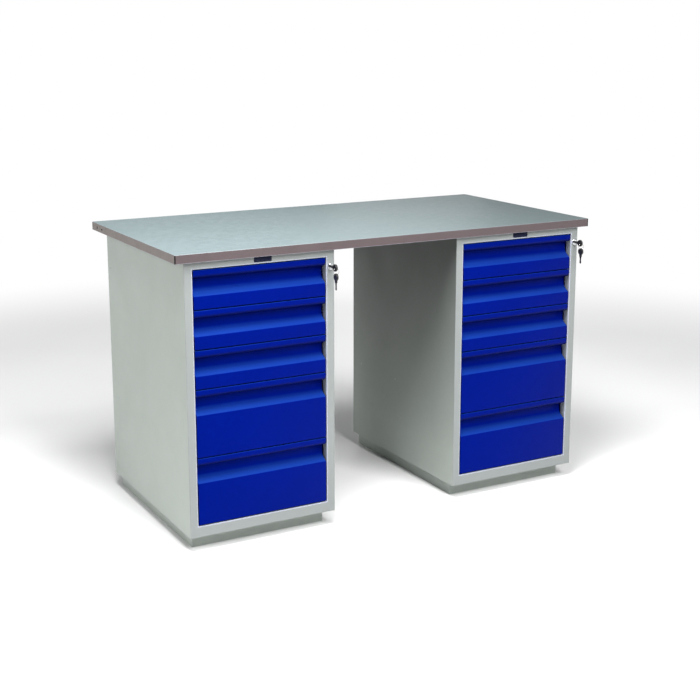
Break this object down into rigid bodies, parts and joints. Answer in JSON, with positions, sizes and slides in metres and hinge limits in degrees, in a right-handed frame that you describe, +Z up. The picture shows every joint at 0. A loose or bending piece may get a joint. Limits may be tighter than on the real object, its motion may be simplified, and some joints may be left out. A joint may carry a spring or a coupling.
{
  "type": "workbench with drawers",
  "caption": "Steel workbench: sheet-covered worktop on two pedestals of drawers, full-width finger grips, recessed plinths and a central key lock on each pedestal",
  "frame": {"origin": "on the floor, under the middle of the bench's overall box, hanging keys included", "axes": "+X along the worktop to the user's right, -Y towards the user, +Z up"},
  "size_m": [1.4, 0.7325, 0.86],
  "materials": {
    "plywood": "sealed plywood",
    "galvanised_sheet": "galvanised, dull sheen, fine scratches",
    "zinc_steel": "bright zinc plate",
    "badge": "dark plain plate",
    "chrome": "polished",
    "light_grey_paint": "satin powder coat, fine orange peel",
    "blue_paint": "satin powder coat, fine orange peel",
    "tray_grey_paint": "satin powder coat",
    "black_plastic": "moulded",
    "bright_wire": "bright nickel"
  },
  "bodies": {
    "root": {"worktop_core": "plywood", "worktop_cover": "galvanised_sheet", "worktop_screws": "zinc_steel", "badge_plates": "badge", "cabinet_runners": "zinc_steel", "lock_bodies": "chrome", "left_outer_side": "light_grey_paint", "left_inner_side": "light_grey_paint", "left_floor_panel": "light_grey_paint", "left_top_panel": "light_grey_paint", "left_back_panel": "light_grey_paint", "left_front_frame": "light_grey_paint", "left_plinth": "light_grey_paint", "right_outer_side": "light_grey_paint", "right_inner_side": "light_grey_paint", "right_floor_panel": "light_grey_paint", "right_top_panel": "light_grey_paint", "right_back_panel": "light_grey_paint", "right_front_frame": "light_grey_paint", "right_plinth": "light_grey_paint"},
    "left_drawer_1": {"left_drawer_1_front": "blue_paint", "left_drawer_1_tray": "tray_grey_paint", "left_drawer_1_runners": "zinc_steel"},
    "left_drawer_2": {"left_drawer_2_front": "blue_paint", "left_drawer_2_tray": "tray_grey_paint", "left_drawer_2_runners": "zinc_steel"},
    "left_drawer_3": {"left_drawer_3_front": "blue_paint", "left_drawer_3_tray": "tray_grey_paint", "left_drawer_3_runners": "zinc_steel"},
    "left_drawer_4": {"left_drawer_4_front": "blue_paint", "left_drawer_4_tray": "tray_grey_paint", "left_drawer_4_runners": "zinc_steel"},
    "left_drawer_5": {"left_drawer_5_front": "blue_paint", "left_drawer_5_tray": "tray_grey_paint", "left_drawer_5_runners": "zinc_steel"},
    "left_lock_bar": {"left_lock_bar": "zinc_steel"},
    "left_lock_core": {"left_lock_plug": "chrome", "left_key": "black_plastic"},
    "left_key_ring": {"left_key_ring": "bright_wire"},
    "left_spare_key": {"left_spare_key": "black_plastic"},
    "right_drawer_1": {"right_drawer_1_front": "blue_paint", "right_drawer_1_tray": "tray_grey_paint", "right_drawer_1_runners": "zinc_steel"},
    "right_drawer_2": {"right_drawer_2_front": "blue_paint", "right_drawer_2_tray": "tray_grey_paint", "right_drawer_2_runners": "zinc_steel"},
    "right_drawer_3": {"right_drawer_3_front": "blue_paint", "right_drawer_3_tray": "tray_grey_paint", "right_drawer_3_runners": "zinc_steel"},
    "right_drawer_4": {"right_drawer_4_front": "blue_paint", "right_drawer_4_tray": "tray_grey_paint", "right_drawer_4_runners": "zinc_steel"},
    "right_drawer_5": {"right_drawer_5_front": "blue_paint", "right_drawer_5_tray": "tray_grey_paint", "right_drawer_5_runners": "zinc_steel"},
    "right_lock_bar": {"right_lock_bar": "zinc_steel"},
    "right_lock_core": {"right_lock_plug": "chrome", "right_key": "black_plastic"},
    "right_key_ring": {"right_key_ring": "bright_wire"},
    "right_spare_key": {"right_spare_key": "black_plastic"}
  },
  "joints": [
    {"name": "left_drawer_1_slide", "type": "slide", "parent": "root", "child": "left_drawer_1", "axis": [0, -1, 0], "range_m": [0, 0.4]},
    {"name": "left_drawer_2_slide", "type": "slide", "parent": "root", "child": "left_drawer_2", "axis": [0, -1, 0], "range_m": [0, 0.4]},
    {"name": "left_drawer_3_slide", "type": "slide", "parent": "root", "child": "left_drawer_3", "axis": [0, -1, 0], "range_m": [0, 0.4]},
    {"name": "left_drawer_4_slide", "type": "slide", "parent": "root", "child": "left_drawer_4", "axis": [0, -1, 0], "range_m": [0, 0.4]},
    {"name": "left_drawer_5_slide", "type": "slide", "parent": "root", "child": "left_drawer_5", "axis": [0, -1, 0], "range_m": [0, 0.4]},
    {"name": "left_key_turn", "type": "hinge", "parent": "root", "child": "left_lock_core", "pos_m": [-0.223, -0.32075, 0.786], "axis": [0, 1, 0], "range_deg": [0, 90]},
    {"name": "left_lock_bar_lift", "type": "slide", "parent": "root", "child": "left_lock_bar", "axis": [0, 0, 1], "range_m": [0, 0.012]},
    {"name": "left_ring_swing", "type": "hinge", "parent": "left_lock_core", "child": "left_key_ring", "pos_m": [-0.223, -0.35575, 0.78497], "axis": [1, 0, 0], "range_deg": [-70, 25]},
    {"name": "left_spare_key_hang", "type": "hinge", "parent": "left_key_ring", "child": "left_spare_key", "pos_m": [-0.223, -0.35575, 0.77547], "axis": [0, 1, 0], "range_deg": [-90, 0]},
    {"name": "right_drawer_1_slide", "type": "slide", "parent": "root", "child": "right_drawer_1", "axis": [0, -1, 0], "range_m": [0, 0.4]},
    {"name": "right_drawer_2_slide", "type": "slide", "parent": "root", "child": "right_drawer_2", "axis": [0, -1, 0], "range_m": [0, 0.4]},
    {"name": "right_drawer_3_slide", "type": "slide", "parent": "root", "child": "right_drawer_3", "axis": [0, -1, 0], "range_m": [0, 0.4]},
    {"name": "right_drawer_4_slide", "type": "slide", "parent": "root", "child": "right_drawer_4", "axis": [0, -1, 0], "range_m": [0, 0.4]},
    {"name": "right_drawer_5_slide", "type": "slide", "parent": "root", "child": "right_drawer_5", "axis": [0, -1, 0], "range_m": [0, 0.4]},
    {"name": "right_key_turn", "type": "hinge", "parent": "root", "child": "right_lock_core", "pos_m": [0.657, -0.32075, 0.786], "axis": [0, 1, 0], "range_deg": [0, 90]},
    {"name": "right_lock_bar_lift", "type": "slide", "parent": "root", "child": "right_lock_bar", "axis": [0, 0, 1], "range_m": [0, 0.012]},
    {"name": "right_ring_swing", "type": "hinge", "parent": "right_lock_core", "child": "right_key_ring", "pos_m": [0.657, -0.35575, 0.78497], "axis": [1, 0, 0], "range_deg": [-70, 25]},
    {"name": "right_spare_key_hang", "type": "hinge", "parent": "right_key_ring", "child": "right_spare_key", "pos_m": [0.657, -0.35575, 0.77547], "axis": [0, 1, 0], "range_deg": [-90, 0]}
  ],
  "couplings": [
    {"joint": "left_key_turn", "follows": "left_lock_bar_lift", "rad_per_m": 130.9},
    {"joint": "left_spare_key_hang", "follows": "left_lock_bar_lift", "rad_per_m": -130.9},
    {"joint": "right_key_turn", "follows": "right_lock_bar_lift", "rad_per_m": 130.9},
    {"joint": "right_spare_key_hang", "follows": "right_lock_bar_lift", "rad_per_m": -130.9}
  ]
}
